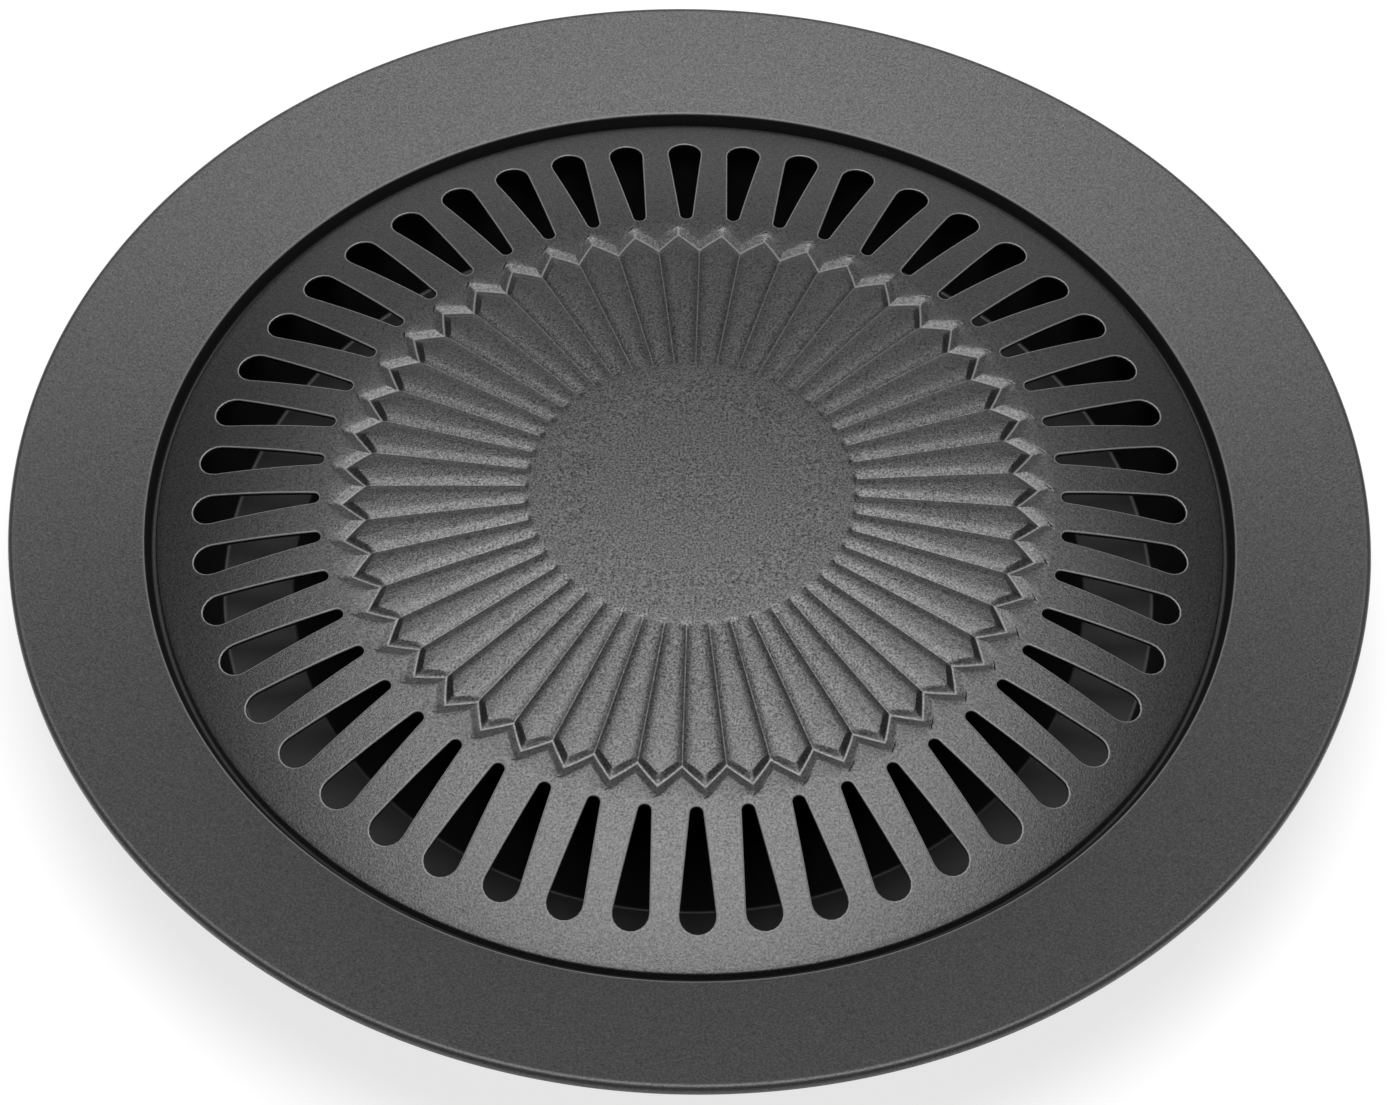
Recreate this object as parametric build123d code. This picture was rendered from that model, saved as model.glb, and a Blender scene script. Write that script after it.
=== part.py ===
from build123d import *
import math
import os

# A stovetop grill of pressed steel sheet. A domed grill plate lies loose on the ledge of a
# ring-shaped drip pan, over a burner that fires up through the opening in the middle.
# Z points up and z = 0 is the surface that the pan stands on. The axis of the rings is the Z axis.
# Lengths are in millimetres, angles in degrees.

# Drip pan. Widths are measured along a radius on the face of the sheet that looks up or out.
pan_sheet = 0.8
pan_height = 33.6
rim_radius = 165.0
rim_width = 32.0
rim_slope = 12.8
rim_edge_round = 1.2
lip_depth = 2.2
shoulder_round = 1.0
wall_lean = 1.6
seat_round = 0.8
ledge_height = 23.0
ledge_width = 5.8
ledge_round = 1.6
trough_wall_lean = 10.3
trough_floor_width = 17.1
trough_round = 2.0
collar_height = 21.2
collar_lean = 16.8
collar_round = 1.2
collar_flat = 2.4
collar_lip_depth = 2.0
collar_lip_round = 1.0

# Grill plate. A round crown runs into a border that bends down to the edge.
plate_sheet = 1.0
plate_play = 1.1
skirt_height = 0.45
plate_edge_round = 2.0
crown_curve_radius = 1186.0
border_width = 47.3
border_edge_slope = 17.6

# Slots for the fat, each with a narrow inner and a wide outer end
slot_count = 48
slot_turn = 2.133
slot_margin = 9.1
slot_length = 31.0
slot_inner_width = 3.1
slot_outer_width = 8.44

# Pattern pressed into the upper face: radial grooves between the petals and a zigzag around them
petal_turn = 1.44
pattern_depth = 0.45
disc_radius = 39.6
groove_width = 2.0
zigzag_width = 2.8
zigzag_margin = 5.3
zigzag_swing = 5.5

# Radii of the pan, from the rim inwards
shoulder_radius = rim_radius - rim_width
seat_radius = shoulder_radius - wall_lean
ledge_inner_radius = seat_radius - ledge_width
trough_outer_radius = ledge_inner_radius - trough_wall_lean
trough_inner_radius = trough_outer_radius - trough_floor_width
collar_radius = trough_inner_radius - collar_lean
opening_radius = collar_radius - collar_flat

# Radii of the plate, from its edge inwards
plate_radius = seat_radius - plate_play
slot_outer_reach = plate_radius - slot_margin
slot_inner_reach = slot_outer_reach - slot_length
zigzag_tip_radius = slot_inner_reach - zigzag_margin
zigzag_valley_radius = zigzag_tip_radius - zigzag_swing
crown_reach = plate_radius - border_width

# Other places that follow from the sizes above
slot_pitch = 360.0 / slot_count
crown_edge_slope = math.degrees(math.asin(crown_reach / crown_curve_radius))
edge_centre = Vector(plate_radius - plate_edge_round, ledge_height + skirt_height)


def uphill(slope, length):
    """An arrow of this length, square to a face that falls outwards at this slope."""
    return Vector(0, length).rotate(Axis.Z, -slope)


def rim_height(radius):
    """Height of the rim cone, whose rounded outer edge tops out at pan_height."""
    slope = math.radians(rim_slope)
    rounding = rim_edge_round / math.cos(slope) + rim_edge_round * math.tan(slope) - rim_edge_round
    return pan_height + rounding - (rim_radius - radius) * math.tan(slope)


def border_knee():
    """Where the tangents at the two ends of the border meet, halfway along it."""
    outer = edge_centre + uphill(border_edge_slope, plate_edge_round)
    half_run = (outer.X - crown_reach) / 2
    return outer + Vector(-half_run, half_run * math.tan(math.radians(border_edge_slope)))


def crown_centre():
    """Centre of the crown arc, on the axis below the plate."""
    knee = border_knee()
    rise = (knee.X - crown_reach) * math.tan(math.radians(crown_edge_slope))
    meeting = Vector(crown_reach, knee.Y + rise)
    return meeting - uphill(crown_edge_slope, crown_curve_radius)


def plate_top():
    """Height of the middle of the plate."""
    return crown_centre().Y + crown_curve_radius


def drip_pan():
    """One sheet profile, turned around the axis: lip, rim, wall, ledge, trough and collar."""
    outline = (
        (rim_radius, pan_height - lip_depth),
        (rim_radius, rim_height(rim_radius)),
        (shoulder_radius, rim_height(shoulder_radius)),
        (seat_radius, ledge_height),
        (ledge_inner_radius, ledge_height),
        (trough_outer_radius, pan_sheet),
        (trough_inner_radius, pan_sheet),
        (collar_radius, collar_height),
        (opening_radius, collar_height),
        (opening_radius, collar_height - collar_lip_depth),
    )
    rounds = (
        rim_edge_round,
        shoulder_round,
        seat_round,
        ledge_round,
        trough_round,
        trough_round,
        collar_round,
        collar_lip_round,
    )
    path = FilletPolyline(*outline, radius=rounds)
    section = make_face(path.offset_2d(pan_sheet, side=Side.LEFT))
    return revolve(Plane.XZ * section, Axis.Z)


def arc_about(centre, radius, start_slope, end_slope):
    """Arc about a centre between the places where it falls outwards at two slopes."""
    middle_slope = (start_slope + end_slope) / 2
    points = [centre + uphill(slope, radius) for slope in (start_slope, middle_slope, end_slope)]
    return ThreePointArc(*points)


def dome_lines(inset):
    """Crown, border and rounded edge of the plate's upper face, moved inwards by inset."""
    half_bend = (border_edge_slope - crown_edge_slope) / 2
    knee_inset = inset / math.cos(math.radians(half_bend))
    knee = border_knee() - uphill(crown_edge_slope + half_bend, knee_inset)
    crown = arc_about(crown_centre(), crown_curve_radius - inset, 0, crown_edge_slope)
    edge = arc_about(edge_centre, plate_edge_round - inset, border_edge_slope, 90)
    border = Bezier(crown @ 1, knee, edge @ 0)
    return crown, border, edge


def dome():
    """The plain plate: domed sheet with a rounded edge turned down onto the ledge."""
    upper = dome_lines(0)
    lower = dome_lines(plate_sheet)
    foot = Line((plate_radius - plate_sheet, ledge_height), (plate_radius, ledge_height))
    axis_side = Line(upper[0] @ 0, lower[0] @ 0)
    skirt = Line(upper[2] @ 1, foot @ 1)
    inner_skirt = Line(lower[2] @ 1, foot @ 0)
    section = make_face([*upper, *lower, axis_side, skirt, foot, inner_skirt])
    return revolve(Plane.XZ * section, Axis.Z)


def skin(bottom, top):
    """A layer over crown and border, between two heights above the plate's upper face."""
    lower_crown, lower_border, _ = dome_lines(-bottom)
    upper_crown, upper_border, _ = dome_lines(-top)
    axis_side = Line(lower_crown @ 0, upper_crown @ 0)
    edge_side = Line(lower_border @ 1, upper_border @ 1)
    section = make_face([lower_crown, lower_border, edge_side, upper_border, upper_crown, axis_side])
    return revolve(Plane.XZ * section, Axis.Z)


def zigzag_face(shift):
    """The star inside the zigzag line, with its corners moved outwards by shift."""
    corners = []
    for index in range(slot_count):
        tip_angle = slot_turn + petal_turn + index * slot_pitch
        valley_angle = tip_angle + slot_pitch / 2
        corners.append(Vector(zigzag_tip_radius + shift, 0).rotate(Axis.Z, tip_angle))
        corners.append(Vector(zigzag_valley_radius + shift, 0).rotate(Axis.Z, valley_angle))
    return make_face(Polyline(*corners, close=True))


def pressed_pattern():
    """The zigzag groove and the radial grooves that end on it, drawn flat."""
    arm_run = zigzag_tip_radius - zigzag_valley_radius
    arm_rise = (zigzag_tip_radius + zigzag_valley_radius) / 2 * math.radians(slot_pitch / 2)
    shift = zigzag_width / 2 / math.sin(math.atan2(arm_rise, arm_run))
    zigzag = zigzag_face(shift) - zigzag_face(-shift)
    groove = SlotOverall(zigzag_valley_radius - disc_radius, groove_width)
    groove_place = Pos((zigzag_valley_radius + disc_radius) / 2, 0)
    first_groove = slot_turn + petal_turn + slot_pitch / 2
    grooves = [turn * groove_place * groove for turn in PolarLocations(0, slot_count, first_groove)]
    return zigzag + grooves


def slot_shape():
    """Outline of one slot, the hull of its two end circles, lying along +X."""
    inner = slot_inner_width / 2
    outer = slot_outer_width / 2
    inner_end = Pos(slot_inner_reach + inner, 0) * Circle(inner)
    outer_end = Pos(slot_outer_reach - outer, 0) * Circle(outer)
    return make_hull((inner_end + outer_end).edges())


def grill_plate():
    """The dome with its pressed pattern and the ring of slots."""
    through = plate_top() + plate_sheet
    relief = extrude(pressed_pattern(), through) & skin(-pattern_depth, plate_sheet)
    slot = extrude(slot_shape(), through, dir=(0, 0, 1))
    slots = [turn * slot for turn in PolarLocations(0, slot_count, slot_turn)]
    return dome() - relief - slots


os.makedirs("parts", exist_ok=True)
export_step(drip_pan(), "parts/drip_pan.step")
export_step(grill_plate(), "parts/grill_plate.step")
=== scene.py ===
"""Stovetop grill of pressed steel sheet: a domed grill plate on a ring-shaped drip pan.

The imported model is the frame. Both of its nodes are replaced here by finer surfaces of the same
shape, with the rounded sections of the pressed grooves, the rounded edges of the slots and the
coatings. All lengths are in metres, and the origin is the middle of the surface that the pan
stands on.
"""

import math

import bmesh
import bpy
import numpy as np
from mathutils import Matrix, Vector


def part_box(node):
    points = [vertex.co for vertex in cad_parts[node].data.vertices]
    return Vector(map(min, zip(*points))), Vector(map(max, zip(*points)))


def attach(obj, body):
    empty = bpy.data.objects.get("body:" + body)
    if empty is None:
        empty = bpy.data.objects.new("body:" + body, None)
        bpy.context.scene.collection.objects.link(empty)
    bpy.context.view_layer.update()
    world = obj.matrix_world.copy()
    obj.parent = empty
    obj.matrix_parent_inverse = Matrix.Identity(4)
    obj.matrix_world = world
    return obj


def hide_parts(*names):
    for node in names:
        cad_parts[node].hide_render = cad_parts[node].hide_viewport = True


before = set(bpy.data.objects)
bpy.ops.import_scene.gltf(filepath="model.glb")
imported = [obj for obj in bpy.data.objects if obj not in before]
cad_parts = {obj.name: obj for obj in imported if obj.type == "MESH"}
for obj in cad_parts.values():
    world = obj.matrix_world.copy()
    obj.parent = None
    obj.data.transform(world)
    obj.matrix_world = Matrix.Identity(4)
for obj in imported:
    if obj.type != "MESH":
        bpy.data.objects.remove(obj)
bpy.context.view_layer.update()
PLATE_LOW, PLATE_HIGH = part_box("grill_plate")
PAN_LOW, PAN_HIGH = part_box("drip_pan")

bl_info = {
    "name": "Stovetop Grill",
    "version": (1, 0, 0),
    "blender": (4, 5, 0),
    "location": "3D View > Sidebar > Grill",
    "description": "Builds the domed grill plate and the drip pan of a stovetop grill, and a small studio",
    "category": "Object",
}

MM = 0.001
WELD = 0.001 * MM


# Small tools

def linear(code):
    """An sRGB hex colour as linear red, green, blue and alpha: each channel c becomes
    ((c + 0.055) / 1.055) to the power 2.4, or c / 12.92 where it is very dark."""
    channels = np.array([int(code.lstrip("#")[k:k + 2], 16) / 255 for k in (0, 2, 4)])
    bright = ((channels + 0.055) / 1.055) ** 2.4
    return (*np.where(channels <= 0.04045, channels / 12.92, bright), 1.0)


def add_node(tree, kind, inputs=None, **settings):
    """Adds a node, sets its settings, and gives each named input a value or a link."""
    node = tree.nodes.new(kind)
    for name, value in settings.items():
        setattr(node, name, value)
    for name, value in (inputs or {}).items():
        if isinstance(value, bpy.types.NodeSocket):
            tree.links.new(value, node.inputs[name])
        else:
            node.inputs[name].default_value = value
    return node


def smooth(low, high, value):
    """0 below low, 1 above high, and the cubic 3t^2 - 2t^3 between."""
    t = np.clip((value - low) / (high - low), 0.0, 1.0)
    return t * t * (3 - 2 * t)


def ring_points(radius, azimuth, height, painted_highlight=0.0):
    """Points at radius r and azimuth a (in radians), as x = r cos a, y = r sin a, with the
    height, and the painted highlight there as a fourth number: a share of the lighter edge colour."""
    radius, azimuth, height, painted_highlight = np.broadcast_arrays(radius, azimuth, height, painted_highlight)
    return np.stack([radius * np.cos(azimuth), radius * np.sin(azimuth), height, painted_highlight], axis=-1)


def quads_of(rows, columns, flip=False):
    """Corner numbers of the quads between the points of a grid."""
    numbers = np.arange(rows * columns).reshape(rows, columns)
    a, b = numbers[:-1, :-1], numbers[1:, :-1]
    c, d = numbers[1:, 1:], numbers[:-1, 1:]
    faces = np.stack([a, b, c, d], axis=-1).reshape(-1, 4)
    return faces[:, ::-1] if flip else faces


def turned(points, count):
    """Copies of a patch, each turned by an equal share of the circle: one more first axis."""
    angles = np.arange(count) * (2 * math.pi / count)
    cos, sin = np.cos(angles), np.sin(angles)
    x = np.multiply.outer(cos, points[..., 0]) - np.multiply.outer(sin, points[..., 1])
    y = np.multiply.outer(sin, points[..., 0]) + np.multiply.outer(cos, points[..., 1])
    rest = np.broadcast_to(points[..., 2:], x.shape + (2,))
    return np.concatenate([x[..., None], y[..., None], rest], axis=-1)


def joined(patches):
    """Joins patches of (points, faces), and welds points that round to the same place on a grid
    WELD apart. Each patch is a stack of copies, so the faces of copy n count on from n times
    the points of one copy."""
    all_points, all_faces, start = [], [], 0
    for points, faces in patches:
        copies = points.shape[0]
        size = int(np.prod(points.shape[1:-1]))
        shift = start + size * np.arange(copies)[:, None, None]
        all_faces.append((faces[None] + shift).reshape(-1, faces.shape[-1]))
        all_points.append(points.reshape(-1, 4))
        start += copies * size
    points = np.concatenate(all_points)
    keys = np.round(points[:, :3] / WELD).astype(np.int64)
    _, first, number = np.unique(keys, axis=0, return_index=True, return_inverse=True)
    number = number.reshape(-1)
    faces = []
    for group in all_faces:
        welded = number[group]
        here = np.sort(welded, axis=1)
        repeats = (here[:, 1:] == here[:, :-1]).sum(axis=1)
        faces += welded[repeats == 0].tolist()
        for face in welded[repeats == 1]:
            faces.append(list(dict.fromkeys(face.tolist())))
    return points[first], faces


def mesh_object(name, points, faces):
    """A smooth closed mesh object at the origin, with its faces turned outwards. The points'
    fourth number, the painted highlight, goes into the attribute painted_edge_highlight."""
    mesh = bpy.data.meshes.new(name)
    mesh.from_pydata(points[:, :3].tolist(), [], faces)
    mesh.update()
    painted_highlight = mesh.attributes.new("painted_edge_highlight", "FLOAT", "POINT")
    painted_highlight.data.foreach_set("value", points[:, 3].astype(np.float32))
    work = bmesh.new()
    work.from_mesh(mesh)
    bmesh.ops.recalc_face_normals(work, faces=work.faces)
    work.to_mesh(mesh)
    work.free()
    mesh.polygons.foreach_set("use_smooth", np.ones(len(mesh.polygons), bool))
    made = bpy.data.objects.new(name, mesh)
    bpy.context.scene.collection.objects.link(made)
    return made


# Settings that a user would change

class GrillPlateSettings(bpy.types.PropertyGroup):
    """Sizes and colours of the grill plate."""
    radius: bpy.props.FloatProperty(
        name="Plate radius", description="Outer radius of the plate", unit="LENGTH",
        default=PLATE_HIGH.x)
    foot: bpy.props.FloatProperty(
        name="Foot height", description="Height of the ledge that the plate stands on",
        unit="LENGTH", default=PLATE_LOW.z)
    sheet: bpy.props.FloatProperty(
        name="Plate sheet", description="Thickness of the plate's steel sheet", unit="LENGTH",
        default=1.0 * MM)
    groove_depth: bpy.props.FloatProperty(
        name="Groove depth", description="Depth of the radial grooves between the petals",
        unit="LENGTH", default=0.43 * MM)
    zigzag_depth: bpy.props.FloatProperty(
        name="Zigzag depth", description="Depth of the zigzag groove around the petals",
        unit="LENGTH", default=0.85 * MM)
    cushion: bpy.props.FloatProperty(
        name="Petal roundness", description="How far a petal 7.9 mm wide falls towards its edges",
        unit="LENGTH", default=0.12 * MM)
    slot_round: bpy.props.FloatProperty(
        name="Slot edge round", description="Radius of the rounded upper edge of the slots",
        unit="LENGTH", default=0.35 * MM)
    colour: bpy.props.StringProperty(
        name="Coating", description="Colour of the coating, as an sRGB hex value",
        default="#0b0b0b")
    fleck: bpy.props.StringProperty(
        name="Flecks", description="Colour of the flakes in the coating, as an sRGB hex value",
        default="#1a1a1a")
    # The edge colour is a painted highlight, mixed in along slot edges and groove bottoms
    edge: bpy.props.StringProperty(
        name="Edges", description="Colour where the coating is thin, as an sRGB hex value",
        default="#8a8787")


class DripPanSettings(bpy.types.PropertyGroup):
    """Sizes and colours of the drip pan."""
    radius: bpy.props.FloatProperty(
        name="Rim radius", description="Outer radius of the rim", unit="LENGTH",
        default=PAN_HIGH.x)
    sheet: bpy.props.FloatProperty(
        name="Pan sheet", description="Thickness of the pan's steel sheet", unit="LENGTH",
        default=0.8 * MM)
    colour: bpy.props.StringProperty(
        name="Rim coating", description="Colour of the rim's coating, as an sRGB hex value",
        default="#0a0a0a")
    fleck: bpy.props.StringProperty(
        name="Flecks", description="Colour of the flakes in the coating, as an sRGB hex value",
        default="#161616")
    # The edge colour is a painted highlight, mixed in along the pan's bends and edges
    edge: bpy.props.StringProperty(
        name="Edges", description="Colour where the coating is thin, as an sRGB hex value",
        default="#7d7a7a")
    inside: bpy.props.StringProperty(
        name="Inner coating", description="Colour inside and underneath, as an sRGB hex value",
        default="#111111")


class StudioSettings(bpy.types.PropertyGroup):
    """Floor, lamp and camera."""
    floor: bpy.props.StringProperty(
        name="Floor", description="Colour of the floor, as an sRGB hex value", default="#f4f4f2")
    lamp_height: bpy.props.FloatProperty(
        name="Lamp height", description="Height of the softbox over the floor", unit="LENGTH",
        default=1.5)
    lamp_power: bpy.props.FloatProperty(
        name="Lamp power", description="Power of the softbox in watts", default=32.3)
    lens: bpy.props.FloatProperty(
        name="Lens", description="Focal length on a sensor 36 mm wide, in millimetres",
        default=111.97)


# Grill plate

SLOTS = 48
PITCH = 2 * math.pi / SLOTS
SLOT_TURN = math.radians(2.133)
PETAL_TURN = math.radians(1.44)

# The dome: a crown, a border that bends down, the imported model's rounded edge and skirt, and
# the tighter fold that is drawn here, with the least rounding inside it and that of the foot
CROWN_CURVE = 1186.0 * MM
CROWN_REACH = 83.0 * MM
BORDER_SLOPE = math.radians(17.6)
EDGE_ROUND = 2.0 * MM
SKIRT = 0.45 * MM
FOLD_ROUND = 0.7 * MM
LEAST_ROUND = 0.02 * MM
FOOT_ROUND = 0.12 * MM

# The cells around the slots, and the middle (as a radius) and radius of a slot's two end circles
CELL_IN = 88.5 * MM
CELL_OUT = 123.5 * MM
SLOT_IN = (91.75 * MM, 1.55 * MM)
SLOT_OUT = (116.98 * MM, 4.22 * MM)

# Numbers of quads: across a petal, across the border beside a slot, and along a slot
PETAL_COLUMNS = 18
BORDER_COLUMNS = 10
SIDE_ROWS = 12

# The zigzag groove. Lines inside ROUND_BELOW have a corner of CORNER_ROUND, lines outside SHARP
# turn in a circle, and the radial grooves end on the line at BOTTOM. Its depth fades between
# the two distances ZIGZAG_FADE inside the slots' cells.
ZIGZAG_TIP = 84.4 * MM
ZIGZAG_VALLEY = 78.9 * MM
ROUND_BELOW = -0.2 * MM
CORNER_ROUND = 0.3 * MM
SHARP = 1.2 * MM
BOTTOM = 0.5 * MM
ZIGZAG_FADE = (2.6 * MM, 0.1 * MM)

# The radial grooves, their steep inner ends, and the painted highlight line along their bottoms,
# out to PAINTED_LINE_REACH in mm from the middle line
DISC_RADIUS = 39.6 * MM
GROOVE_END = 0.9 * MM
END_STEEPNESS = 1.7
PAINTED_LINE_REACH = 0.15
PAINTED_LINE_SHARE = 0.3

# A petal's roundness is given where it is PETAL_RADIUS from the axis, and starts at the disc
PETAL_RADIUS = 60.0 * MM
CUSHION_START = 10.0 * MM

# Radii in mm of the circles over the disc and the petals, closer at the grooves' inner ends
CIRCLES = np.array([12, 25, 34, 38.9, 39.3, 39.6, 39.9, 40.3, 40.8, 42, 46, 52, 60, 68, 74]) * MM
# Rows of that grid that the underside has too. It needs fewer, because it is hardly seen
UNDER_ROWS = [0, 1, 2, 3, 5, 7, *range(9, 16), 17, 19, 21, 23, 25, 26, 27, 29, 30, 31]
# Shares of the way from the grooves to the middle of a petal, where its other columns lie
PETAL_SHARES = np.array([0.45, 0.8, 1.0])
# Shares of the way from the zigzag to the slots' cells, where the last rows lie
OUTER_SHARES = np.array([0.5, 1.0])
# Distance in mm from a radial groove's middle line, and the share of its depth there
GROOVE_STEPS = np.array([
    (0.0, 1.0), (0.06, 0.98), (0.28, 0.81), (0.75, 0.52), (1.25, 0.28), (1.85, 0.09), (2.4, 0.0),
])
# Distance in mm from the zigzag's middle line, share of its depth there, painted highlight there
ZIGZAG_STEPS = np.array([
    (-1.65, 0.0, 0.0), (-1.52, 0.04, 0.0), (-1.35, 0.14, 0.0), (-0.9, 0.43, 0.0),
    (-0.4, 0.75, 0.0), (-0.06, 0.95, 0.0), (0.08, 0.99, 0.4), (0.3, 1.0, 0.6),
    (0.44, 0.97, 0.4), (0.6, 0.92, 0.0), (1.1, 0.74, 0.0), (1.7, 0.52, 0.0),
    (2.15, 0.35, 0.0), (2.34, 0.29, 0.0), (2.6, 0.26, 0.0),
])


def dome_height(radius, settings):
    """Height of the plain dome. The crown is a circle of radius R about a centre on the axis:
    centre + sqrt(R^2 - r^2). The border is a parabola whose tangents meet halfway along it."""
    crown_slope = math.asin(CROWN_REACH / CROWN_CURVE)
    edge_r = settings.radius - EDGE_ROUND + EDGE_ROUND * math.sin(BORDER_SLOPE)
    edge_z = settings.foot + SKIRT + EDGE_ROUND * math.cos(BORDER_SLOPE)
    half_run = (edge_r - CROWN_REACH) / 2
    knee_z = edge_z + half_run * math.tan(BORDER_SLOPE)
    start_z = knee_z + half_run * math.tan(crown_slope)
    centre_z = start_z - CROWN_CURVE * math.cos(crown_slope)
    radius = np.asarray(radius, float)
    crown = centre_z + np.sqrt(CROWN_CURVE ** 2 - np.minimum(radius, CROWN_REACH) ** 2)
    t = np.clip((radius - CROWN_REACH) / (2 * half_run), 0.0, 1.0)
    border = (1 - t) ** 2 * start_z + 2 * t * (1 - t) * knee_z + t ** 2 * edge_z
    return np.where(radius < CROWN_REACH, crown, border)


def sheet_below(radius, settings):
    """How far the underside lies below the upper face: the sheet over the slope's cosine."""
    step = 0.01 * MM
    slope = (dome_height(radius + step, settings) - dome_height(radius, settings)) / step
    return settings.sheet * np.sqrt(1 + slope ** 2)


def petal_azimuths(radius):
    """Azimuths of the columns of one petal, measured from its middle. Columns near a groove keep
    fixed distances d from it, at the angle arcsin(d / r), and the others share what is left."""
    from_groove = GROOVE_STEPS[:, 0] * MM
    near = np.arcsin(from_groove / np.maximum(radius, DISC_RADIUS)[..., None])
    rest = near[..., -1:] + (PITCH / 2 - near[..., -1:]) * PETAL_SHARES
    half = np.concatenate([near, rest], axis=-1) - PITCH / 2
    return np.concatenate([half, -half[..., -2::-1]], axis=-1)


def zigzag_radius(azimuth, offset):
    """Radius of the line at a distance w from the zigzag's middle line. The arms are straight:
    r = tip - s x + w / sin(arm angle), x being the distance across from the tip. Inner lines
    have a rounded corner, with sqrt(x^2 + a^2) for x. Lines further out than SHARP turn about
    the tip of the line at SHARP, in a circle."""
    run = ZIGZAG_TIP - ZIGZAG_VALLEY
    rise = (ZIGZAG_TIP + ZIGZAG_VALLEY) / 2 * PITCH / 2
    arm = math.atan2(rise, run)
    span = ZIGZAG_VALLEY * math.sin(PITCH / 2)
    across = span * np.abs(azimuth) / (PITCH / 2)
    corner = np.where(offset < ROUND_BELOW, CORNER_ROUND, 0.0)
    blunt = np.sqrt(across ** 2 + corner ** 2)
    radius = ZIGZAG_TIP - run / span * blunt + offset / math.sin(arm)
    turn = np.maximum(offset - SHARP, 0.0)
    circle = ZIGZAG_TIP + SHARP / math.sin(arm) + np.sqrt(np.maximum(turn ** 2 - across ** 2, 0.0))
    return np.where(across < turn * math.cos(arm), np.minimum(radius, circle), radius)


def pressed_grid(settings):
    """One petal's patch of the upper face. Rows run outwards from the axis: circles over the
    disc and the petal, then lines along the zigzag, then lines that turn into the circle that
    the slots' cells start from. The height is the dome's, less the depth of the zigzag or of
    the radial groove and the petal, whichever is more. A groove's depth follows its table of
    steps, by the distance from its middle line. At the inner end of a radial groove that distance
    grows faster, so that the groove ends steeply. A petal falls towards its edges as the square
    of the share of its half width. The zigzag's depth fades to nothing at the cells."""
    flat_azimuths = petal_azimuths(CIRCLES)
    flat_radii = np.broadcast_to(CIRCLES[:, None], flat_azimuths.shape)

    offsets = ZIGZAG_STEPS[:, 0] * MM
    band_azimuths = petal_azimuths(np.full(len(offsets), (ZIGZAG_TIP + ZIGZAG_VALLEY) / 2))
    band_radii = zigzag_radius(band_azimuths, offsets[:, None])

    even = np.linspace(-PITCH / 2, PITCH / 2, PETAL_COLUMNS + 1) - PETAL_TURN
    shares = OUTER_SHARES[:, None]
    outer_azimuths = band_azimuths[-1] + (even - band_azimuths[-1]) * shares
    outer_radii = band_radii[-1] + (CELL_IN - band_radii[-1]) * shares

    azimuths = np.concatenate([flat_azimuths, band_azimuths, outer_azimuths])
    radii = np.concatenate([flat_radii, band_radii, outer_radii])

    zigzag = np.zeros(radii.shape)
    painted_highlight = np.zeros(radii.shape)
    band = slice(len(CIRCLES), -len(shares))
    zigzag[band] = ZIGZAG_STEPS[:, 1:2] * settings.zigzag_depth
    zigzag[-len(shares)] = ZIGZAG_STEPS[-1, 1] * (1 - shares[0]) * settings.zigzag_depth
    zigzag *= 1 - smooth(CELL_IN - ZIGZAG_FADE[0], CELL_IN - ZIGZAG_FADE[1], radii)
    # The painted highlight along the zigzag's bottom
    painted_highlight[band] = ZIGZAG_STEPS[:, 2:]

    inside = np.zeros(radii.shape)
    inside[:len(CIRCLES) + np.count_nonzero(offsets <= BOTTOM)] = 1.0
    across = radii * np.sin(PITCH / 2 - np.abs(azimuths))
    along = radii * np.cos(PITCH / 2 - np.abs(azimuths))
    short = END_STEEPNESS * np.maximum(DISC_RADIUS + GROOVE_END - along, 0.0)
    away = np.hypot(across, short) / MM
    groove = inside * np.interp(away, GROOVE_STEPS[:, 0], GROOVE_STEPS[:, 1]) * settings.groove_depth
    # A painted highlight line along the bottom of each radial groove, PAINTED_LINE_SHARE strong at its
    # middle
    painted_highlight = np.maximum(painted_highlight, inside * PAINTED_LINE_SHARE * np.clip(1 - away / PAINTED_LINE_REACH, 0.0, 1.0))
    cushion = settings.cushion * radii / PETAL_RADIUS * (azimuths / (PITCH / 2)) ** 2
    cushion = cushion * inside * smooth(DISC_RADIUS, DISC_RADIUS + CUSHION_START, radii)
    heights = dome_height(radii, settings) - np.maximum(zigzag, groove + cushion)
    return azimuths + SLOT_TURN + PETAL_TURN, radii, heights, painted_highlight


def pressed_patches(settings):
    """The upper face inside the slots and its underside, closed at the axis by one point each."""
    azimuths, radii, heights, painted_highlight = pressed_grid(settings)
    patches = []
    every_row = np.arange(len(radii))
    for rows, drop, flip in ((every_row, 0.0, False), (UNDER_ROWS, settings.sheet, True)):
        low = heights[rows] - drop
        if drop:
            low[-1] = dome_height(CELL_IN, settings) - sheet_below(CELL_IN, settings)
        points = ring_points(radii[rows], azimuths[rows], low, painted_highlight[rows] * (drop == 0))
        middle = np.zeros((1, points.shape[1], 4))
        middle[..., 2] = dome_height(0.0, settings) - drop
        points = np.concatenate([middle, points])
        patches.append((turned(points, SLOTS), quads_of(*points.shape[:2], flip)))
    return patches


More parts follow.
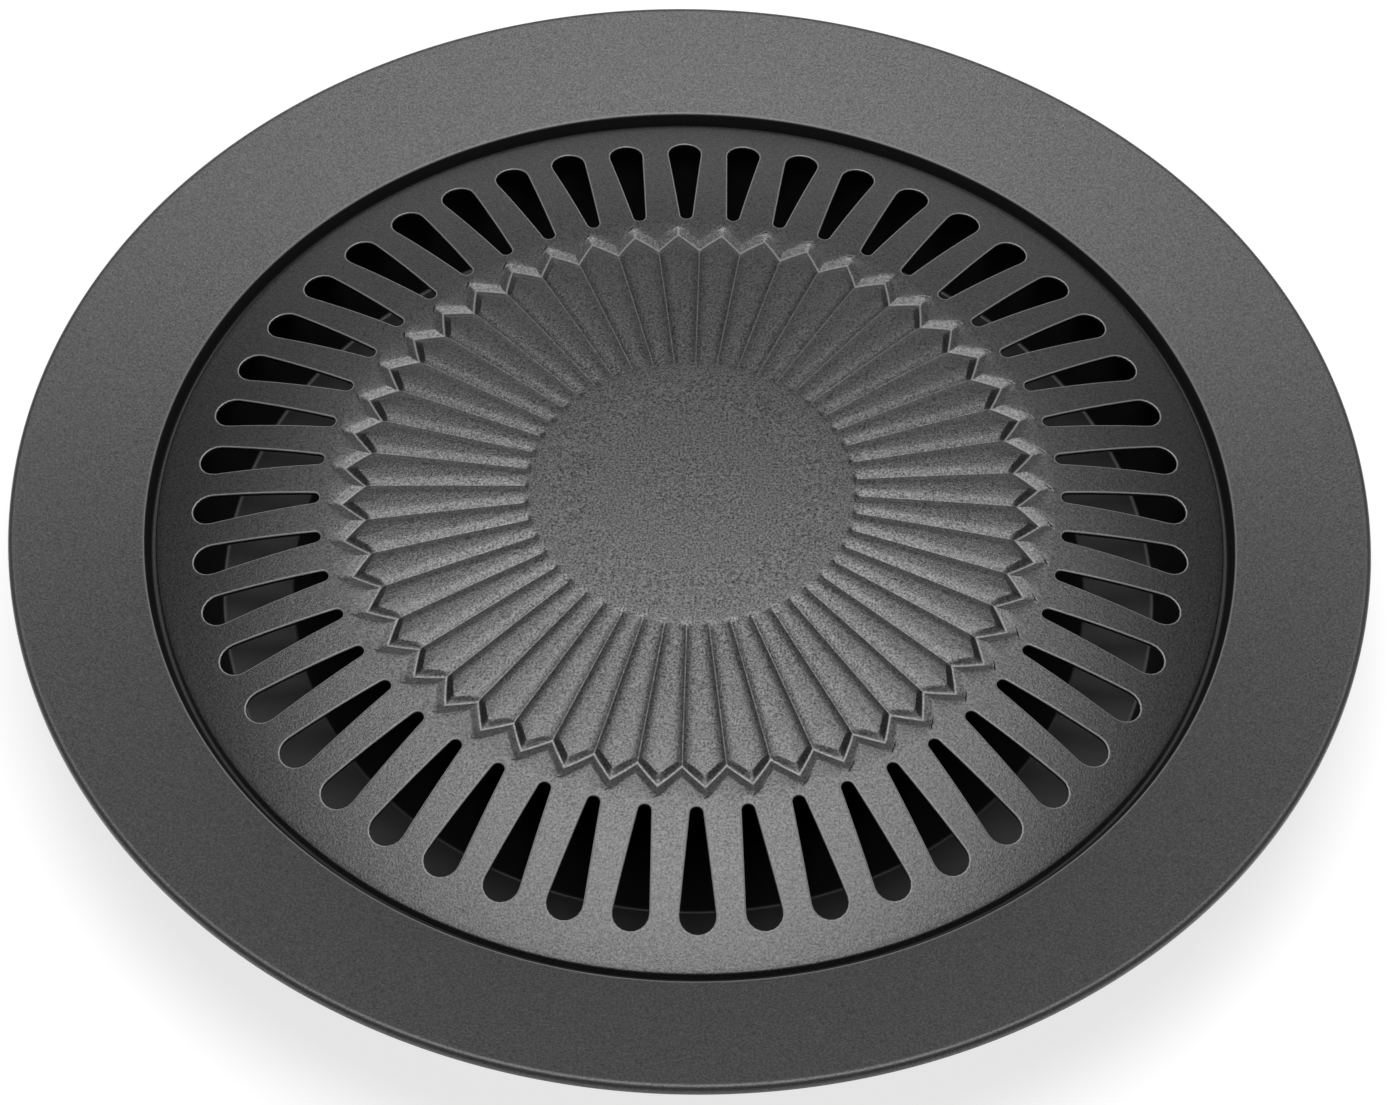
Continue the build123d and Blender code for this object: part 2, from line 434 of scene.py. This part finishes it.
def slot_line(edge):
    """Points around a slot at a distance e outside its edge, seen from the slot's own X axis,
    as many as its cell has around its border. The outline is the hull of two circles: arcs of
    radius r + e about their centres, and the straight tangents between them."""
    (near_x, near_r), (far_x, far_r) = SLOT_IN, SLOT_OUT
    tangent = math.acos((near_r - far_r) / (far_x - near_x))
    near_turn = np.linspace(2 * math.pi - tangent, tangent, PETAL_COLUMNS + 1)
    far_turn = np.linspace(tangent, -tangent, BORDER_COLUMNS + 1)
    near = np.stack([near_x + (near_r + edge) * np.cos(near_turn),
                     (near_r + edge) * np.sin(near_turn)], axis=-1)
    far = np.stack([far_x + (far_r + edge) * np.cos(far_turn),
                    (far_r + edge) * np.sin(far_turn)], axis=-1)
    share = np.linspace(0, 1, SIDE_ROWS + 1)[1:-1, None]
    upper = near[-1] + (far[0] - near[-1]) * share
    lower = far[-1] + (near[0] - far[-1]) * share
    return np.concatenate([near, upper, far, lower])


def cell_line():
    """The border of a slot's cell: a circle inside, a ray, a circle outside and a ray."""
    near = np.linspace(-PITCH / 2, PITCH / 2, PETAL_COLUMNS + 1)
    far = np.linspace(PITCH / 2, -PITCH / 2, BORDER_COLUMNS + 1)
    share = np.linspace(0, 1, SIDE_ROWS + 1)[1:-1]
    side = CELL_IN + (CELL_OUT - CELL_IN) * share
    radii = np.concatenate([np.full(near.shape, CELL_IN), side,
                            np.full(far.shape, CELL_OUT), side[::-1]])
    angles = np.concatenate([near, np.full(side.shape, PITCH / 2), far,
                             np.full(side.shape, -PITCH / 2)])
    return np.stack([radii * np.cos(angles), radii * np.sin(angles)], axis=-1)


# Shares of the way from a slot to the border of its cell, on the upper face and underneath
UPPER_SHARES = (1.0, 0.66, 0.3, 0.0)
UNDER_SHARES = (0.0, 0.35, 1.0)
# Steps of a slot's rounded edge in degrees from the wall, and the painted highlight on each
EDGE_STEPS = ((90, 0.1), (60, 0.9), (30, 0.8), (0, 0.1))
# Where the upper rings start, in roundings of the edge
EDGE_START = 1.5


def slot_patch(settings):
    """The plate around one slot as rings: the border of its cell, rings that draw in to the
    slot, the quarter circle of its rounded edge, its wall, and the same back on the underside."""
    border = cell_line()
    near = slot_line(settings.slot_round * EDGE_START)
    rings = [near + (border - near) * share for share in UPPER_SHARES]
    drops = [0.0] * len(rings)
    painted_highlight = [0.0] * len(rings)
    for step, highlight_share in EDGE_STEPS:
        rings.append(slot_line(settings.slot_round * (1 - math.cos(math.radians(step)))))
        drops.append(settings.slot_round * (1 - math.sin(math.radians(step))))
        painted_highlight.append(highlight_share)
    under = slot_line(0.0)
    rings += [under + (border - under) * share for share in UNDER_SHARES]
    painted_highlight += [0.0] * len(UNDER_SHARES)
    plane = np.stack(rings)
    radii = np.hypot(plane[..., 0], plane[..., 1])
    top = dome_height(radii, settings)
    upper = slice(0, len(drops))
    lower = slice(len(drops), None)
    heights = top.copy()
    heights[upper] -= np.array(drops)[:, None]
    heights[lower] -= sheet_below(radii[lower], settings)
    azimuths = np.arctan2(plane[..., 1], plane[..., 0]) + SLOT_TURN
    points = ring_points(radii, azimuths, heights, np.array(painted_highlight)[:, None])
    points = np.concatenate([points, points[:, :1]], axis=1)
    return turned(points, SLOTS), quads_of(*points.shape[:2])


# Distances in mm of the border's plain rows from the slots' cells, and from the fold
BORDER_ROWS = (0.0, 2.4)
BEFORE_FOLD = 0.4
FOLD_STEPS = 6


def border_patch(settings):
    """The plain border: the dome out to its fold, a turn down to the skirt, the foot on the
    ledge, and the same one sheet further in, back to the slots' cells. The fold is drawn tighter
    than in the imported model, as in the photograph. It touches the border's slope and the skirt,
    so that its centre is R / cos(slope) below the line of the slope."""
    swing = np.linspace(math.pi / 2 - BORDER_SLOPE, 0, FOLD_STEPS)
    reach = settings.radius - EDGE_ROUND * (1 - math.sin(BORDER_SLOPE))
    centre_r = settings.radius - FOLD_ROUND
    line_z = float(dome_height(reach, settings)) - (centre_r - reach) * math.tan(BORDER_SLOPE)
    centre_z = line_z - FOLD_ROUND / math.cos(BORDER_SLOPE)
    top = [CELL_OUT + distance * MM for distance in BORDER_ROWS]
    outside = [(r, float(dome_height(r, settings))) for r in (*top, reach - BEFORE_FOLD * MM)]
    outside += [(centre_r + FOLD_ROUND * math.cos(a), centre_z + FOLD_ROUND * math.sin(a))
                for a in swing]
    outside += [(settings.radius, settings.foot + FOOT_ROUND),
                (settings.radius - FOOT_ROUND, settings.foot)]

    skirt_r = settings.radius - settings.sheet
    inner = max(FOLD_ROUND - settings.sheet, LEAST_ROUND)
    inner_r = skirt_r - inner
    inner_z = centre_z + (FOLD_ROUND - settings.sheet - inner) / math.cos(BORDER_SLOPE)
    inner_z += (centre_r - inner_r) * math.tan(BORDER_SLOPE)
    inside = [(skirt_r + FOOT_ROUND, settings.foot), (skirt_r, settings.foot + FOOT_ROUND)]
    inside += [(inner_r + inner * math.cos(a), inner_z + inner * math.sin(a))
               for a in swing[::-1]]
    inside += [(r, float(dome_height(r, settings) - sheet_below(r, settings))) for r in top[::-1]]
    profile = np.array(outside + inside)
    azimuths = np.linspace(-PITCH / 2, PITCH / 2, BORDER_COLUMNS + 1) + SLOT_TURN
    points = ring_points(profile[:, :1], azimuths[None], profile[:, 1:])
    return turned(points, SLOTS), quads_of(*points.shape[:2])


class GRILL_OT_grill_plate(bpy.types.Operator):
    """Builds the domed plate with its petals, grooves, slots and border"""
    bl_idname = "grill.grill_plate"
    bl_label = "Build Grill Plate"

    def execute(self, context):
        settings = context.scene.grill_plate
        patches = pressed_patches(settings) + [slot_patch(settings), border_patch(settings)]
        plate = mesh_object("pressed_grill_plate", *joined(patches))
        plate.data.materials.append(plate_coating(settings))
        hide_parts("grill_plate")
        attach(plate, "grill_plate")
        return {"FINISHED"}


# Drip pan

PAN_SEGMENTS = 384
BEND_STEPS = 6
# A point this far before and after each bend keeps the straight runs flat in the shading
BEND_LEAD = 0.3 * MM
# Distance inwards from the rim's edge, height and rounding in mm of each corner of the sheet's
# upper face: lip, rim edge, shoulder, foot of the wall, ledge edge, two corners of the trough,
# and three of the collar
PAN_CORNERS = np.array([
    (0.0, 31.4, 0.0), (0.0, 33.9, 1.2), (32.0, 26.63, 0.7), (33.6, 23.0, 0.8),
    (39.4, 23.0, 1.6), (49.7, 0.8, 0.9), (66.8, 0.8, 0.9), (83.6, 21.2, 1.2),
    (86.0, 21.2, 1.0), (86.0, 19.2, 0.0),
]) * MM
# The painted highlight in the middle of each corner's bend, where the bend catches the light
PAINTED_HIGHLIGHT_ON_BENDS = (0.0, 0.15, 0.8, 0.0, 0.2, 0.5, 0.15, 0.2, 0.0, 0.0)
SHOULDER = 2

# Where the rim's coating ends: inside the shoulder, under the rim's edge, and on faces that
# look down or almost level. Beyond it the inner coating's weak shine is painted shade on the
# shoulder's wall in the gap.
SHOULDER_REACH = 0.2 * MM
EDGE_REACH = 0.4 * MM
LEAST_UPWARDS = 0.2


def rounded_path(corners, steps):
    """A path through the corners with each one rounded, the direction square to it on its left,
    and the painted highlight along the bends: the square of a sine across each bend. A rounding
    of radius R touches its two straights R tan(turn / 2) from the corner."""
    points, normals, painted_highlight = [], [], []
    spots, rounds = corners[:, :2], corners[:, 2]
    ways = np.diff(spots, axis=0)
    ways /= np.linalg.norm(ways, axis=1)[:, None]
    left = np.stack([-ways[:, 1], ways[:, 0]], axis=1)
    points.append(spots[:1])
    normals.append(left[:1])
    painted_highlight.append(np.zeros(1))
    for k in range(1, len(spots) - 1):
        turn = math.atan2(ways[k - 1, 0] * ways[k, 1] - ways[k - 1, 1] * ways[k, 0],
                          ways[k - 1] @ ways[k])
        side = math.copysign(1.0, turn)
        start = spots[k] - ways[k - 1] * rounds[k] * math.tan(abs(turn) / 2)
        centre = start + left[k - 1] * side * rounds[k]
        angles = np.linspace(0, turn, steps + 1)
        cos, sin = np.cos(angles)[:, None], np.sin(angles)[:, None]
        spin = left[k - 1] * cos + np.array([-left[k - 1, 1], left[k - 1, 0]]) * sin
        arc = centre - spin * side * rounds[k]
        points += [arc[:1] - ways[k - 1] * BEND_LEAD, arc, arc[-1:] + ways[k] * BEND_LEAD]
        normals += [left[k - 1:k], spin, left[k:k + 1]]
        painted_highlight.append(PAINTED_HIGHLIGHT_ON_BENDS[k] * np.sin(np.linspace(0, math.pi, steps + 3)) ** 2)
    points.append(spots[-1:])
    normals.append(left[-1:])
    painted_highlight.append(np.zeros(1))
    return np.concatenate(points), np.concatenate(normals), np.concatenate(painted_highlight)


def pan_profile(settings):
    """The closed section of the pan's sheet: its upper face from the lip inwards, and the same
    path one sheet below, back to the lip."""
    corners = PAN_CORNERS.copy()
    corners[:, 0] = settings.radius - corners[:, 0]
    upper, left, painted_highlight = rounded_path(corners, BEND_STEPS)
    lower = upper + left * settings.sheet
    return np.concatenate([upper, lower[::-1]]), np.concatenate([painted_highlight, np.zeros(len(painted_highlight))])


def rim_faces(faces, settings):
    """Which faces have the rim's coating: those outside the shoulder that look up, and the
    edge. The others have the coating of the inside, whose weak shine is painted shade in the
    gap and the trough."""
    centres = np.zeros(len(faces) * 3)
    faces.foreach_get("center", centres)
    normals = np.zeros(len(faces) * 3)
    faces.foreach_get("normal", normals)
    inwards = settings.radius - np.hypot(centres[0::3], centres[1::3])
    upwards = normals[2::3] > LEAST_UPWARDS
    outside = inwards < PAN_CORNERS[SHOULDER, 0] + SHOULDER_REACH
    return outside & (upwards | (inwards < EDGE_REACH))


class GRILL_OT_drip_pan(bpy.types.Operator):
    """Builds the pan by turning the section of its sheet around the axis"""
    bl_idname = "grill.drip_pan"
    bl_label = "Build Drip Pan"

    def execute(self, context):
        settings = context.scene.drip_pan
        profile, painted_highlight = pan_profile(settings)
        profile = np.concatenate([profile, profile[:1]])
        painted_highlight = np.append(painted_highlight, painted_highlight[0])[:, None]
        azimuths = np.linspace(0, 2 * math.pi, PAN_SEGMENTS + 1)
        points = ring_points(profile[:, :1], azimuths[None], profile[:, 1:], painted_highlight)
        pan = mesh_object("pressed_drip_pan", *joined([(points[None], quads_of(*points.shape[:2]))]))
        pan.data.materials.append(rim_coating(settings))
        # The inner coating's weak shine is painted shade in the gap and the trough
        pan.data.materials.append(pan_inside_coating_and_painted_shade(settings))
        rim = rim_faces(pan.data.polygons, settings)
        pan.data.polygons.foreach_set("material_index", np.where(rim, 0, 1).astype(np.int32))
        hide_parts("drip_pan")
        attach(pan, "drip_pan")
        return {"FINISHED"}


# Coatings

# Values of the fine noise between which the colour turns from the film's to the flakes'
FLAKE_START, FLAKE_END = 0.35, 0.78
# The broad texture is this many grains wide, and has this share in the relief
BROAD_GRAINS = 3
BROAD_SHARE = 0.4
# The fine noise spreads by about NOISE_SPREAD around NOISE_MIDDLE, so that its distance from
# there times sparkle / NOISE_SPREAD raises and lowers the shine by about the sparkle. Pressing
# stretches and smooths the film: from GRAIN_FROM to GRAIN_TO off the axis, OUTER_SPREAD takes
# the place of NOISE_SPREAD, and the sparkle falls to under half.
NOISE_MIDDLE = 0.5
NOISE_SPREAD, OUTER_SPREAD = 0.1, 0.22
GRAIN_FROM, GRAIN_TO = 40 * MM, 110 * MM
LEAST_SHINE = 0.1
# A Specular IOR Level of 0.5 is the full reflection that the IOR gives
FULL_LEVEL = 0.5


def coating(name, colours, grain, shine, sheen, sparkle, bump):
    """A sprayed coating with flakes.

    colours are the hex colours of the film, of its flakes and of the painted highlight on its edges. grain
    is the size of the flakes. shine and sheen are a narrow and a wide reflection, each with its
    roughness and its strength, and sparkle is how far the flakes raise and lower both. bump is
    the depth of the texture. The attribute painted_edge_highlight mixes in that lighter colour, a painted
    highlight where edges and bends catch the light."""
    material = bpy.data.materials.new(name)
    material.use_nodes = True
    tree = material.node_tree
    tree.nodes.clear()
    place = add_node(tree, "ShaderNodeTexCoord").outputs["Object"]
    fine = add_node(tree, "ShaderNodeTexNoise", {
        "Vector": place, "Scale": 1 / grain, "Detail": 1.5, "Roughness": 0.6})
    broad = add_node(tree, "ShaderNodeTexNoise", {
        "Vector": place, "Scale": 1 / (grain * BROAD_GRAINS), "Detail": 2.0, "Roughness": 0.5})
    ramp = add_node(tree, "ShaderNodeValToRGB", {"Fac": fine.outputs["Fac"]})
    ramp.color_ramp.elements[0].position = FLAKE_START
    ramp.color_ramp.elements[0].color = linear(colours[0])
    ramp.color_ramp.elements[1].position = FLAKE_END
    ramp.color_ramp.elements[1].color = linear(colours[1])
    both = add_node(tree, "ShaderNodeMath", {
        0: broad.outputs["Fac"], 1: BROAD_SHARE, 2: fine.outputs["Fac"]},
        operation="MULTIPLY_ADD")
    relief = add_node(tree, "ShaderNodeBump", {
        "Height": both.outputs["Value"], "Strength": 1.0, "Distance": bump})
    # Painted highlight: painted_edge_highlight mixes the light edge colour in where edges and bends catch
    # the light
    painted_highlight = add_node(tree, "ShaderNodeAttribute", attribute_name="painted_edge_highlight")
    colour = add_node(tree, "ShaderNodeMix", {
        "Factor": painted_highlight.outputs["Fac"], 6: ramp.outputs["Color"], 7: linear(colours[2])},
        data_type="RGBA")
    flat = add_node(tree, "ShaderNodeVectorMath", {0: place, 1: (1.0, 1.0, 0.0)},
                    operation="MULTIPLY")
    reach = add_node(tree, "ShaderNodeVectorMath", {0: flat.outputs["Vector"]},
                     operation="LENGTH")
    share = add_node(tree, "ShaderNodeMapRange", {
        "Value": reach.outputs["Value"], "From Min": GRAIN_FROM, "From Max": GRAIN_TO,
        "To Min": sparkle / NOISE_SPREAD, "To Max": sparkle / OUTER_SPREAD})
    lean = add_node(tree, "ShaderNodeMath", {0: fine.outputs["Fac"], 1: NOISE_MIDDLE},
                    operation="SUBTRACT")
    glint = add_node(tree, "ShaderNodeMath", {
        0: lean.outputs["Value"], 1: share.outputs["Result"], 2: 1.0}, operation="MULTIPLY_ADD")
    glint = add_node(tree, "ShaderNodeMath", {0: glint.outputs["Value"], 1: LEAST_SHINE},
                     operation="MAXIMUM")
    level = add_node(tree, "ShaderNodeMath", {
        0: glint.outputs["Value"], 1: shine[1] * FULL_LEVEL}, operation="MULTIPLY")
    veil = add_node(tree, "ShaderNodeMath", {0: glint.outputs["Value"], 1: sheen[1]},
                    operation="MULTIPLY")
    shader = add_node(tree, "ShaderNodeBsdfPrincipled", {
        "Base Color": colour.outputs[2], "Metallic": 0.0, "IOR": 1.5,
        "Roughness": shine[0], "Specular IOR Level": level.outputs["Value"],
        "Coat Roughness": sheen[0], "Coat Weight": veil.outputs["Value"], "Coat IOR": 1.5,
        "Normal": relief.outputs["Normal"], "Coat Normal": relief.outputs["Normal"]})
    add_node(tree, "ShaderNodeOutputMaterial", {"Surface": shader.outputs["BSDF"]})
    return material


def plate_coating(settings):
    """Non-stick coating with mineral flakes, sprayed on pressed steel and baked.

    The flakes give the fine light and dark grain. They are 0.1 to 0.3 mm across, and are drawn
    0.5 mm across so that they show. The resin over them gives a soft satin shine."""
    return coating("flaked_nonstick_coating_baked_on_steel",
                   (settings.colour, settings.fleck, settings.edge), grain=0.5 * MM,
                   shine=(0.365, 0.96), sheen=(0.482, 0.51), sparkle=0.37, bump=0.05 * MM)


def rim_coating(settings):
    """The same coating sprayed thinner over the pan's rim, where it dries to a more matt and
    darker film. Its flakes too are drawn 0.5 mm across so that they show."""
    return coating("matt_nonstick_coating_baked_on_steel",
                   (settings.colour, settings.fleck, settings.edge), grain=0.5 * MM,
                   shine=(0.395, 0.765), sheen=(0.562, 0.486), sparkle=0.38, bump=0.04 * MM)


def pan_inside_coating_and_painted_shade(settings):
    """Smooth black non-stick coating without flakes, baked on the steel inside the trough and
    underneath. Its shine is kept weak as painted shade, so that the trough and the gap's wall,
    which lie in shade, look black. It has almost no grain, and painted highlight lines in the
    edge colour over its bends."""
    return coating("smooth_black_coating_dimmed_as_painted_shade",
                   (settings.inside, settings.inside, settings.edge), grain=0.8 * MM,
                   shine=(0.4, 0.45), sheen=(0.6, 0.2), sparkle=0.03, bump=0.01 * MM)


# Studio

# The floor: half its width, the size of its fibres, and the colour and the glow that make it
# white to the camera
FLOOR_REACH = 4.0
FIBRE = 2.5 * MM
FLOOR_VEIL = "#8a8a8a"
FLOOR_GLOW = 0.78

# The room in reflections, by the direction of the ray: white all round below SKIRTING (0 is
# level and 1 is upwards), and at the back also below WALL. BEHIND is where the back starts
# (1 is straight back). Each is a soft edge between two values.
SKIRTING = (0.03, 0.0)
WALL = (0.9, 0.6)
BEHIND = (0.77, 0.87)
ROOM_GREY = (0.008, 0.008, 0.008, 1.0)
WHITE = (1.0, 1.0, 1.0, 1.0)

# The softbox, a little behind the middle of the grill
LAMP_SIZE = (1.15, 1.37)
LAMP_BACK = 0.25

# Where the camera of the photograph stood, its slope below level and its roll
CAMERA_PLACE = np.array([0.960, -643.112, 861.205]) * MM
CAMERA_PITCH = math.radians(52.886)
CAMERA_ROLL = math.radians(1.676)
SENSOR_WIDTH = 36.0

def studio_floor(settings):
    """Pale matt paper. Rays from the camera and in reflections also see a little of its own
    light, so that it is white around the object and still keeps the object's shadow."""
    material = bpy.data.materials.new("pale_matt_paper")
    material.use_nodes = True
    tree = material.node_tree
    tree.nodes.clear()
    place = add_node(tree, "ShaderNodeTexCoord").outputs["Object"]
    fibre = add_node(tree, "ShaderNodeTexNoise", {
        "Vector": place, "Scale": 1 / FIBRE, "Detail": 3.0})
    tint = add_node(tree, "ShaderNodeMix", {
        "Factor": fibre.outputs["Fac"], 6: linear(settings.floor), 7: WHITE},
        data_type="RGBA")
    paper = add_node(tree, "ShaderNodeBsdfDiffuse", {"Color": tint.outputs[2]})
    veil = add_node(tree, "ShaderNodeBsdfDiffuse", {"Color": linear(FLOOR_VEIL)})
    rays = add_node(tree, "ShaderNodeLightPath")
    seen = add_node(tree, "ShaderNodeMath", {
        0: rays.outputs["Is Camera Ray"], 1: rays.outputs["Is Glossy Ray"]}, operation="MAXIMUM")
    seen = add_node(tree, "ShaderNodeMath", {
        0: seen.outputs["Value"], 1: rays.outputs["Is Transmission Ray"]}, operation="MAXIMUM")
    glow = add_node(tree, "ShaderNodeEmission", {"Color": WHITE, "Strength": FLOOR_GLOW})
    lit = add_node(tree, "ShaderNodeAddShader", {0: veil.outputs["BSDF"], 1: glow.outputs[0]})
    both = add_node(tree, "ShaderNodeMixShader", {
        0: seen.outputs["Value"], 1: paper.outputs["BSDF"], 2: lit.outputs["Shader"]})
    add_node(tree, "ShaderNodeOutputMaterial", {"Surface": both.outputs["Shader"]})
    return material


def studio_world():
    """A white room seen by the camera. Reflections see it white near the floor all round and
    higher up behind the grill, and dim above. Diffuse light comes from a dim grey room."""
    world = bpy.data.worlds.new("studio_room")
    bpy.context.scene.world = world
    world.use_nodes = True
    tree = world.node_tree
    tree.nodes.clear()
    way = add_node(tree, "ShaderNodeTexCoord").outputs["Generated"]
    way = add_node(tree, "ShaderNodeSeparateXYZ", {"Vector": way})
    skirting = add_node(tree, "ShaderNodeMapRange", {
        "Value": way.outputs["Z"], "From Min": SKIRTING[0], "From Max": SKIRTING[1]},
        interpolation_type="SMOOTHSTEP")
    wall = add_node(tree, "ShaderNodeMapRange", {
        "Value": way.outputs["Z"], "From Min": WALL[0], "From Max": WALL[1]},
        interpolation_type="SMOOTHSTEP")
    behind = add_node(tree, "ShaderNodeMapRange", {
        "Value": way.outputs["Y"], "From Min": BEHIND[0], "From Max": BEHIND[1]},
        interpolation_type="SMOOTHSTEP")
    wall = add_node(tree, "ShaderNodeMath", {
        0: wall.outputs["Result"], 1: behind.outputs["Result"]}, operation="MULTIPLY")
    low = add_node(tree, "ShaderNodeMath", {
        0: wall.outputs["Value"], 1: skirting.outputs["Result"]}, operation="MAXIMUM")
    rays = add_node(tree, "ShaderNodeLightPath")
    mirror = add_node(tree, "ShaderNodeMath", {
        0: rays.outputs["Is Glossy Ray"], 1: rays.outputs["Is Transmission Ray"]},
        operation="MAXIMUM")
    mirror = add_node(tree, "ShaderNodeMath", {
        0: mirror.outputs["Value"], 1: low.outputs["Value"]}, operation="MULTIPLY")
    white = add_node(tree, "ShaderNodeMath", {
        0: rays.outputs["Is Camera Ray"], 1: mirror.outputs["Value"]}, operation="MAXIMUM")
    shade = add_node(tree, "ShaderNodeMix", {
        "Factor": white.outputs["Value"], 6: ROOM_GREY, 7: WHITE}, data_type="RGBA")
    sky = add_node(tree, "ShaderNodeBackground", {"Color": shade.outputs[2], "Strength": 1.0})
    add_node(tree, "ShaderNodeOutputWorld", {"Surface": sky.outputs["Background"]})


def photo_camera(settings):
    """The camera of the photograph, which looks down at the grill from the front."""
    right = np.array([1.0, 0.0, 0.0])
    up = np.array([0.0, math.sin(CAMERA_PITCH), math.cos(CAMERA_PITCH)])
    turn = np.eye(4)
    turn[:3, 0] = right * math.cos(CAMERA_ROLL) + up * math.sin(CAMERA_ROLL)
    turn[:3, 1] = up * math.cos(CAMERA_ROLL) - right * math.sin(CAMERA_ROLL)
    turn[:3, 2] = (0.0, -math.cos(CAMERA_PITCH), math.sin(CAMERA_PITCH))
    turn[:3, 3] = CAMERA_PLACE
    lens = bpy.data.cameras.new("photo_camera")
    lens.lens = settings.lens
    lens.sensor_width = SENSOR_WIDTH
    lens.sensor_fit = "HORIZONTAL"
    lens.clip_start, lens.clip_end = 0.01, 50.0
    camera = bpy.data.objects.new("photo_camera", lens)
    bpy.context.scene.collection.objects.link(camera)
    camera.matrix_world = Matrix(turn.tolist())
    bpy.context.scene.camera = camera


class GRILL_OT_studio(bpy.types.Operator):
    """Builds the floor, the softbox, the room's light and the camera"""
    bl_idname = "grill.studio"
    bl_label = "Build Studio"

    def execute(self, context):
        settings = context.scene.grill_studio
        side = np.array([-FLOOR_REACH, FLOOR_REACH])
        x, y = np.meshgrid(side, side, indexing="ij")
        points = np.stack([x, y, np.zeros_like(x)], axis=-1)
        mesh = bpy.data.meshes.new("studio_floor")
        mesh.from_pydata(points.reshape(-1, 3).tolist(), [], [[0, 2, 3, 1]])
        floor = bpy.data.objects.new("studio_floor", mesh)
        bpy.context.scene.collection.objects.link(floor)
        floor.data.materials.append(studio_floor(settings))

        lamp = bpy.data.lights.new("softbox", "AREA")
        lamp.shape = "RECTANGLE"
        lamp.size, lamp.size_y = LAMP_SIZE
        lamp.energy = settings.lamp_power
        softbox = bpy.data.objects.new("softbox", lamp)
        bpy.context.scene.collection.objects.link(softbox)
        softbox.location = (0.0, LAMP_BACK, settings.lamp_height)
        studio_world()
        photo_camera(settings)
        context.scene.view_settings.view_transform = "Standard"
        return {"FINISHED"}


class GRILL_PT_sidebar(bpy.types.Panel):
    """Lists the sizes and colours, and the buttons that build the pieces"""
    bl_label = "Stovetop Grill"
    bl_idname = "GRILL_PT_sidebar"
    bl_space_type = "VIEW_3D"
    bl_region_type = "UI"
    bl_category = "Grill"

    def draw(self, context):
        for owner, operator in (("drip_pan", "grill.drip_pan"), ("grill_plate", "grill.grill_plate"),
                                ("grill_studio", "grill.studio")):
            settings = getattr(context.scene, owner)
            box = self.layout.box()
            for name in settings.bl_rna.properties.keys():
                if name not in ("rna_type", "name"):
                    box.prop(settings, name)
            box.operator(operator)


CLASSES = (GrillPlateSettings, DripPanSettings, StudioSettings, GRILL_OT_grill_plate,
           GRILL_OT_drip_pan, GRILL_OT_studio, GRILL_PT_sidebar)


def register():
    for kind in CLASSES:
        bpy.utils.register_class(kind)
    bpy.types.Scene.grill_plate = bpy.props.PointerProperty(type=GrillPlateSettings)
    bpy.types.Scene.drip_pan = bpy.props.PointerProperty(type=DripPanSettings)
    bpy.types.Scene.grill_studio = bpy.props.PointerProperty(type=StudioSettings)


def unregister():
    del bpy.types.Scene.grill_plate
    del bpy.types.Scene.drip_pan
    del bpy.types.Scene.grill_studio
    for kind in reversed(CLASSES):
        bpy.utils.unregister_class(kind)


def main():
    register()
    bpy.ops.grill.drip_pan()
    bpy.ops.grill.grill_plate()
    bpy.ops.grill.studio()


if __name__ == "__main__":
    main()
